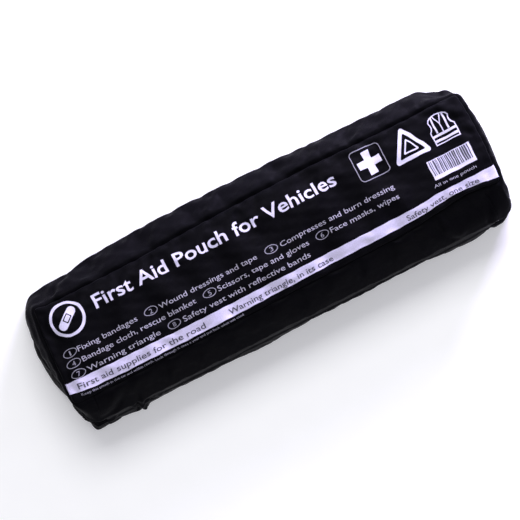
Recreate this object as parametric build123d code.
"""Three-in-one vehicle first aid pouch: a soft nylon pouch that opens like a book along a three-sided zip.

It holds a folding warning triangle in its case, a folded warning vest and first aid supplies.
Millimetres. The pouch lies on its back: +X runs along its length, +Y towards the zip side, +Z out of the
printed front panel. The origin is the middle of the face that it rests on.
"""

from build123d import *
import math
import os

# ---- driving dimensions of the pouch ----
HOOK_TAPE = 1.5  # thickness of the hook tape under the back panel
RIM_Z, FRONT_Z, CROWN_Z = 36.0, 66.0, 72.0  # heights of the zip, the front seam and the top of the front panel
RIM_LENGTH, RIM_WIDTH, RIM_RADIUS, RIM_Y = 445.0, 140.5, 20.0, -1.0
FRONT_LENGTH, FRONT_WIDTH, FRONT_RADIUS = 440.0, 96.0, 5.0
CROWN_LENGTH, CROWN_WIDTH, CROWN_RADIUS = 372.0, 44.0, 14.0  # flat middle of the crowned front panel
# height, length, width, corner radius and shift along Y of the outline; the zip lies in a shallow groove
OUTLINES = [
    (HOOK_TAPE, 456.0, 149.0, 10.0, 0.0),
    (27.0, 451.0, 144.5, 20.0, 0.0),
    (31.0, RIM_LENGTH, RIM_WIDTH, RIM_RADIUS, RIM_Y),
    (41.0, RIM_LENGTH, RIM_WIDTH, RIM_RADIUS, RIM_Y),
    (45.0, 449.0, 142.0, 20.0, 0.0),
    (FRONT_Z, FRONT_LENGTH, FRONT_WIDTH, FRONT_RADIUS, 0.0),
]
CLOTH = 1.2  # gusset and panel cloth with its coating and seam
TAPE = 0.9  # zip tape and binding tape
RIM_GAP = 0.15  # half of the gap between the two halves at the rim
AIR = 0.3  # clearance between things that only lie beside each other

# ---- zip ----
ZIP_CLOTH = 5.0  # the gusset cloth stops this far from the rim
ZIP_TAPE = 11.0  # each tape reaches this far from the rim
TEETH_WIDTH = 1.8  # each row of teeth, measured from the rim
TEETH_GAP = 0.4  # half of the gap between the closed rows
TEETH_DEPTH = 2.1
HINGE_HALF = 200.0  # the hinge gusset reaches this far each way along X, and the zip has the rest
STOP_LENGTH = 4.0  # at each end of the zip, between the hinge gusset and the rows of teeth
SLIDER_X = 170.0  # the slider's place when the zip is closed

# ---- warning triangle ----
CASE_LENGTH, CASE_WIDTH, CASE_HEIGHT, CASE_WALL = 424.0, 45.0, 33.0, 1.6
CASE_Y = -45.0  # middle of the case
CASE_TRAY = 22.0  # height of the tray; the lid is the rest
ARM_LENGTH, ARM_WIDTH, ARM_HEIGHT = 412.0, 38.0, 5.0
STRIP = 1.0  # thickness of reflector and fluorescent strips
PIVOT_X = 194.0

FLOOR_Z = HOOK_TAPE + CLOTH + AIR  # lowest point of the contents
CASE_TOP = FLOOR_Z + CASE_HEIGHT

# ---- vest and first aid supplies ----
VEST_X, VEST_Y, VEST_TOP = (14.0, 210.0), (-17.0, 62.0), 24.2
BAND_WIDTH, BAND_THICKNESS = 42.0, 0.6
BAND_X = (48.0, 128.0)  # where the vest's reflective bands start
ROLL_R = 18.6
WIDE_ROLLS_X, WIDE_ROLLS_Y = (-192.5, -154.5, -116.5), (-19.0, 60.0)
NARROW_ROLLS_X, NARROW_ROLLS_Y = (-78.5, -40.5), (-12.0, 48.0)
ON_ROLLS = FLOOR_Z + 2 * ROLL_R + AIR
ON_VEST = VEST_TOP + BAND_THICKNESS + 1.0
# packs: reach along X, reach along Y, height of the underside, thickness, how many lie on each other
PACKS = {
    "compress_sachets": ((-206, -112), (-40, 49), ON_ROLLS, 2.4, 6),
    "large_wound_dressing": ((-106, -10), (-22, 42), ON_ROLLS + 9.0, 8.4, 1),
    "rescue_blanket": ((62, 134), (-15, 61), ON_VEST, 14.0, 1),
    "burn_dressing": ((138, 208), (-15, 61), ON_VEST, 12.0, 1),
    "triangular_bandage": ((62, 134), (-15, 56), ON_VEST + 14.4, 10.2, 1),
    "gloves": ((138, 208), (-15, 56), ON_VEST + 12.4, 3.0, 2),
    "face_masks": ((138, 208), (-14, 54), ON_VEST + 19.4, 2.3, 2),
    "plaster_set": ((84, 176), (-8, 44), ON_VEST + 27.6, 2.2, 1),
    "cleansing_wipes": ((8, 54), (-62, -26), CASE_TOP + 1.1, 2.0, 2),
}
MEDIUM_DRESSINGS_Y, MEDIUM_DRESSINGS_Z = ((-42, 2), (5, 49)), (ON_ROLLS, ON_ROLLS + 8.6)
LEAFLET_X, LEAFLET_Y, LEAFLET_Z = (64, 206), (-16, 51), (ON_VEST + 25.2, ON_VEST + 27.2)
SEAL_WIDTH, SEAL_HALF = 4.0, 0.4  # the flat sealed ends of a pack

parts = {}


def between(z):
    """Length, width, corner radius and shift of the pouch's outline at height z."""
    for low, high in zip(OUTLINES, OUTLINES[1:]):
        if z <= high[0]:
            t = (z - low[0]) / (high[0] - low[0])
            return [a + (b - a) * t for a, b in zip(low[1:], high[1:])]
    return OUTLINES[-1][1:]


def outline(z, inset=0.0, z_plane=None):
    """The pouch's outline at height z, moved in by inset, drawn there or in the plane z_plane."""
    length, width, radius, shift = between(z)
    shape = RectangleRounded(length - 2 * inset, width - 2 * inset, max(radius - inset, 0.5))
    return Pos(0, shift, z if z_plane is None else z_plane) * shape


def ring(z_low, z_high, outer, inner):
    """A band of wall that follows the pouch's slope, between two insets from its outer surface."""
    levels = [z_low] + [row[0] for row in OUTLINES if z_low < row[0] < z_high] + [z_high]
    whole = loft([outline(z, outer) for z in levels], ruled=True)
    return whole - loft([outline(z, inner) for z in levels], ruled=True)


def block(x, y, z):
    """A box from three (low, high) pairs."""
    size = [high - low for low, high in (x, y, z)]
    return Pos(*[(low + high) / 2 for low, high in (x, y, z)]) * Box(*size)


FAR = 400.0


def hinge_side(half):
    """The side of the pouch towards -Y, from -half to half along X."""
    return block((-half, half), (-FAR, 0), (-FAR, FAR))


HINGE_SIDE = hinge_side(HINGE_HALF)


def save(name, shape):
    """Keeps a node; a list is a group of separate solids."""
    parts[name] = shape


# ---- pouch ----
def gussets():
    """The walls: a zip gusset round three sides and a hinge gusset, each in a tub half and a lid half."""
    tub = ring(HOOK_TAPE + CLOTH, RIM_Z - RIM_GAP, 0, CLOTH)
    lid = ring(RIM_Z + RIM_GAP, FRONT_Z, 0, CLOTH)
    zip_slot = block((-FAR, FAR), (-FAR, FAR), (RIM_Z - ZIP_CLOTH, RIM_Z + ZIP_CLOTH))
    save("tub_zip_gusset", tub - HINGE_SIDE - zip_slot)
    save("tub_hinge_gusset", tub & HINGE_SIDE)
    save("lid_zip_gusset", lid - HINGE_SIDE - zip_slot)
    save("lid_hinge_gusset", lid & HINGE_SIDE)


def back_panel():
    save("back_panel", extrude(outline(HOOK_TAPE), CLOTH))
    strip = extrude(RectangleRounded(300, 25, 2), HOOK_TAPE)
    save("hook_strips", [Pos(0, y, 0) * strip for y in (-36, 36)])


SEAM_EDGE = 4.0  # width of the front panel's flat edge


def front_panel():
    """A crowned sheet with a flat seam edge that sits on the walls."""
    crown = RectangleRounded(CROWN_LENGTH, CROWN_WIDTH, CROWN_RADIUS)
    foot = outline(FRONT_Z, 0, FRONT_Z + CLOTH / 2)
    dome = loft([foot, Pos(0, 0, CROWN_Z) * crown], ruled=True) + extrude(outline(FRONT_Z), CLOTH)
    hollow = loft([outline(FRONT_Z, SEAM_EDGE), Pos(0, 0, CROWN_Z - CLOTH) * crown], ruled=True)
    save("front_panel", dome - hollow)


def bindings():
    """Binding tape over the raw seam edges, inside the pouch."""
    save("front_seam_binding", ring(FRONT_Z - 7, FRONT_Z, CLOTH, CLOTH + TAPE))
    save("back_seam_binding", ring(HOOK_TAPE + CLOTH, HOOK_TAPE + CLOTH + 6, CLOTH, CLOTH + TAPE))


def zip_chain():
    """Tapes inside the gusset cloth, and a row of teeth on each tape's edge."""
    near, far = TEETH_GAP, TEETH_GAP + TEETH_WIDTH
    teeth_out = CLOTH + TAPE / 2 - TEETH_DEPTH / 2
    rows = {
        "tub": (RIM_Z - ZIP_TAPE, RIM_Z - far, RIM_Z - far, RIM_Z - near),
        "lid": (RIM_Z + far, RIM_Z + ZIP_TAPE, RIM_Z + near, RIM_Z + far),
    }
    for side, (tape_low, tape_high, teeth_low, teeth_high) in rows.items():
        save(f"zip_tape_{side}", ring(tape_low, tape_high, CLOTH, CLOTH + TAPE) - HINGE_SIDE)
        teeth = ring(teeth_low, teeth_high, teeth_out, teeth_out + TEETH_DEPTH)
        save(f"zip_teeth_{side}", teeth - hinge_side(HINGE_HALF + STOP_LENGTH))
        stop_x = (HINGE_HALF + AIR, HINGE_HALF + STOP_LENGTH - 0.1)
        stop_y = RIM_Y - RIM_WIDTH / 2 + CLOTH + TAPE / 2
        stop = block(stop_x, (stop_y - 1.5, stop_y + 1.5), (teeth_low, teeth_high))
        save(f"zip_stops_{side}", [stop, mirror(stop, Plane.YZ)])


SLIDER_LENGTH, SLIDER_HEIGHT, PLATE = 13.0, 9.4, 1.1
CHAIN_Y = RIM_Y + RIM_WIDTH / 2 - CLOTH - TAPE / 2  # middle of the teeth on the long side
OUTER_FACE = CHAIN_Y + TEETH_DEPTH / 2 + 0.3  # inner face of the slider's outer plate
INNER_FACE = CHAIN_Y - TEETH_DEPTH / 2 - 0.3  # of its inner plate
BAR_R = 0.7
BAR_Y = OUTER_FACE + PLATE + BAR_R + 0.25  # axis of the pull tab's bar
ARCH_HALF = 4.2


def plate(y_low, y_high):
    """One face of the slider: wide at one end, narrow at the other."""
    half, low = SLIDER_LENGTH / 2, SLIDER_HEIGHT / 2
    shape = Polyline((-half, -low * 0.7), (half, -low), (half, low), (-half, low * 0.7), close=True)
    face = Plane((0, y_low, 0), x_dir=(1, 0, 0), z_dir=(0, 1, 0)) * make_face(shape)
    return fillet(extrude(face, y_high - y_low).edges().filter_by(Axis.Y), 1.2)


def slider():
    """Two plates, the web between the rows of teeth and the arch that holds the pull tab."""
    body = plate(INNER_FACE - PLATE, INNER_FACE) + plate(OUTER_FACE, OUTER_FACE + PLATE)
    web = block((2.0, 6.0), (INNER_FACE, OUTER_FACE), (-0.2, 0.2))
    arch_top = BAR_Y + BAR_R + 0.25
    arch = block((-ARCH_HALF, ARCH_HALF), (OUTER_FACE + PLATE, arch_top + 1.0), (-1, 1))
    arch -= block((-ARCH_HALF + 1.3, ARCH_HALF - 1.3), (OUTER_FACE + PLATE, arch_top), (-2, 2))
    save("zip_slider", Pos(SLIDER_X, 0, RIM_Z) * (body + web + arch))


def pull_tab():
    """A bar under the slider's arch, two arms outside it and a rounded tab with a hole."""
    bar = Cylinder(BAR_R, 6.0)
    arm = block((-9.0, 0), (-BAR_R, BAR_R), (1.6, 3.0))
    tab = block((-34.0, -8.0), (-BAR_R, BAR_R), (-4.2, 4.2))
    tab = fillet(tab.edges().filter_by(Axis.Y), 2.5)
    hole = Pos(-29, 0, 0) * Rot(90, 0, 0) * Cylinder(1.8, 4)
    whole = bar + arm + mirror(arm, Plane.XY) + tab - hole
    save("zip_pull", Pos(SLIDER_X, BAR_Y, RIM_Z) * whole)


# ---- warning triangle in its case ----
def rounded_box(x, y, z, radius, wall_edges=Axis.Z):
    """A block whose edges along wall_edges are rounded."""
    return fillet(block(x, y, z).edges().filter_by(wall_edges), radius)


def case():
    half_x, half_y = CASE_LENGTH / 2, CASE_WIDTH / 2
    x, y = (-half_x, half_x), (CASE_Y - half_y, CASE_Y + half_y)
    inner_x = (x[0] + CASE_WALL, x[1] - CASE_WALL)
    inner_y = (y[0] + CASE_WALL, y[1] - CASE_WALL)
    split, top = FLOOR_Z + CASE_TRAY, CASE_TOP
    tray = rounded_box(x, y, (FLOOR_Z, split), 5)
    save("triangle_case_tray", tray - rounded_box(inner_x, inner_y, (FLOOR_Z + CASE_WALL, split), 3.4))
    lid = rounded_box(x, y, (split, top), 5) - rounded_box(inner_x, inner_y, (split, top - CASE_WALL), 3.4)
    ribs = [block((-190, 190), (CASE_Y + d - 1, CASE_Y + d + 1), (top, top + 0.8)) for d in (-9, 0, 9)]
    for rib in ribs:
        lid += rib
    save("triangle_case_lid", lid)


def triangle():
    """Three arms stacked in the case, each with a reflector and a fluorescent strip, and the wire legs."""
    reflectors, fluorescent = [], []
    half = ARM_LENGTH / 2
    z = FLOOR_Z + CASE_WALL + AIR
    for name in ("triangle_base_arm", "triangle_left_arm", "triangle_right_arm"):
        arm = rounded_box((-half, half), (CASE_Y - ARM_WIDTH / 2, CASE_Y + ARM_WIDTH / 2), (z, z + ARM_HEIGHT), 6)
        for pivot in (-PIVOT_X, PIVOT_X):
            arm -= Pos(pivot, CASE_Y, z) * Cylinder(2.6, 30)
        save(name, arm)
        top = (z + ARM_HEIGHT, z + ARM_HEIGHT + STRIP)
        reach = (12 - PIVOT_X, PIVOT_X - 12)
        reflectors.append(block(reach, (CASE_Y - 17.5, CASE_Y - 0.5), top))
        fluorescent.append(block(reach, (CASE_Y + 0.5, CASE_Y + 17.5), top))
        z += ARM_HEIGHT + STRIP + AIR
    save("triangle_reflectors", reflectors)
    save("triangle_fluorescent_strips", fluorescent)
    bottom = FLOOR_Z + CASE_WALL + AIR
    save(
        "triangle_rivets",
        [
            Pos(x, CASE_Y, 0) * extrude(Pos(0, 0, bottom) * Circle(2.5), z - bottom - STRIP)
            for x in (-PIVOT_X, PIVOT_X)
        ],
    )
    leg = Rot(0, 90, 0) * Cylinder(1.6, 175)
    legs = [Pos(sx * 92, CASE_Y + sy * 8, z + 2.0) * leg for sx in (-1, 1) for sy in (-1, 1)]
    save("triangle_legs", legs)


# ---- vest ----
def vest():
    """The vest, folded to a block, with its two reflective bands showing on top."""
    folded = rounded_box(VEST_X, VEST_Y, (FLOOR_Z, VEST_TOP), 6, Axis.X)
    save("folded_vest", fillet(folded.edges().filter_by(Axis.Y), 3))
    reach = (VEST_Y[0] + 9, VEST_Y[1] - 9)
    top = (VEST_TOP, VEST_TOP + BAND_THICKNESS)
    save("vest_reflective_bands", [block((start, start + BAND_WIDTH), reach, top) for start in BAND_X])


# ---- first aid supplies ----
def pillow(x, y, z):
    """A sealed sachet or pack: thick in the middle and thin at its two sealed ends."""
    (x0, x1), (y0, y1), (z0, z1) = x, y, z
    middle = (z0 + z1) / 2
    slope = SEAL_WIDTH + 3 + 0.35 * (z1 - z0)
    half = [
        (x0, middle - SEAL_HALF),
        (x0 + SEAL_WIDTH, middle - SEAL_HALF),
        (x0 + slope, z0),
        (x1 - slope, z0),
        (x1 - SEAL_WIDTH, middle - SEAL_HALF),
        (x1, middle - SEAL_HALF),
    ]
    upper = [(px, 2 * middle - pz) for px, pz in reversed(half)]
    face = Plane((0, y0, 0), x_dir=(1, 0, 0), z_dir=(0, -1, 0)) * make_face(Polyline(*half, *upper, close=True))
    return extrude(face, -(y1 - y0))


def packs():
    """Packs and stacks of sachets."""
    for name, (x, y, low, thickness, count) in PACKS.items():
        step = thickness + AIR
        save(name, [pillow(x, y, (low + i * step, low + i * step + thickness)) for i in range(count)])
    medium_x = PACKS["large_wound_dressing"][0]
    save("medium_wound_dressings", [pillow(medium_x, y, MEDIUM_DRESSINGS_Z) for y in MEDIUM_DRESSINGS_Y])
    save("leaflet", rounded_box(LEAFLET_X, LEAFLET_Y, LEAFLET_Z, 1.0))


def bandages():
    """Five rolled fixing bandages lying side by side, axes along Y."""

    def roll(x, y):
        place = Pos(x, sum(y) / 2, FLOOR_Z + ROLL_R) * Rot(90, 0, 0)
        body = place * Cylinder(ROLL_R, y[1] - y[0])
        return chamfer(body.edges().filter_by(GeomType.CIRCLE), 1.5)

    save("wide_fixing_bandages", [roll(x, WIDE_ROLLS_Y) for x in WIDE_ROLLS_X])
    save("narrow_fixing_bandages", [roll(x, NARROW_ROLLS_Y) for x in NARROW_ROLLS_X])


SPOOL_X, SPOOL_Y, SPOOL_Z = 34.0, 20.0, ON_VEST
SPOOL_R, SPOOL_HEIGHT, FLANGE = 22.5, 26.0, 1.2
CORE_R, COIL_R = 10.0, 19.5


def tape_spool():
    """A flanged spool with a coil of adhesive tape on it."""
    place = Pos(SPOOL_X, SPOOL_Y, SPOOL_Z)
    disc = extrude(Circle(SPOOL_R), FLANGE)
    spool = extrude(Circle(CORE_R), SPOOL_HEIGHT) + disc + Pos(0, 0, SPOOL_HEIGHT - FLANGE) * disc
    save("tape_spool", place * (spool - extrude(Circle(CORE_R - 1.5), SPOOL_HEIGHT)))
    coil = extrude(Circle(COIL_R) - Circle(CORE_R), SPOOL_HEIGHT - 2 * FLANGE)
    save("adhesive_tape", place * Pos(0, 0, FLANGE) * coil)


# ---- scissors ----
SCISSORS_X, SCISSORS_Y, SCISSORS_Z = -104.0, 0.0, 59.6
SCISSORS_TURN = -18.0  # degrees from the X axis
HALF_THICKNESS, HALVES_APART = 1.7, 0.15
RIVET_R, HOLE_R, RIVET_HEAD_R, RIVET_HEAD = 2.2, 2.25, 4.0, 0.6


def scissors_half():
    """One half in its own frame: pivot at the origin, blade towards +X, ring towards -X and +Y."""
    blade = make_face(Polyline((-6, -5.5), (56, 0.6), (57, 1.6), (54, 3.0), (-6, 5.5), close=True))
    shank = make_face(Polyline((-4, -5.5), (-4, 5.5), (-46, 13.5), (-46, 8.0), close=True))
    ring_outer = Pos(-59, 13.0) * Ellipse(17.5, 12.8)
    ring_inner = Pos(-59, 13.0) * Ellipse(13.5, 9.2)
    flat = blade + shank + Circle(6.5) + ring_outer - ring_inner - Circle(HOLE_R)
    return extrude(flat, HALF_THICKNESS)


def scissors():
    place = Pos(SCISSORS_X, SCISSORS_Y, SCISSORS_Z) * Rot(0, 0, SCISSORS_TURN)
    lower = scissors_half()
    upper = Pos(0, 0, HALF_THICKNESS + HALVES_APART) * mirror(lower, Plane.XZ)
    shank = 2 * (HALF_THICKNESS + HALVES_APART)
    head = extrude(Circle(RIVET_HEAD_R), RIVET_HEAD)
    rivet = extrude(Circle(RIVET_R), shank) + Pos(0, 0, shank) * head + Pos(0, 0, -RIVET_HEAD) * head
    save("scissors_lower_half", place * lower)
    save("scissors_upper_half", place * upper)
    save("scissors_rivet", place * rivet)


def main():
    gussets()
    back_panel()
    front_panel()
    bindings()
    zip_chain()
    slider()
    pull_tab()
    case()
    triangle()
    vest()
    bandages()
    packs()
    tape_spool()
    scissors()
    os.makedirs("parts", exist_ok=True)
    for name, shape in parts.items():
        solids = shape if isinstance(shape, list) else [shape]
        export_step(Compound(children=[s for item in solids for s in item.solids()]), f"parts/{name}.step")
    print(len(parts), "nodes")


main()
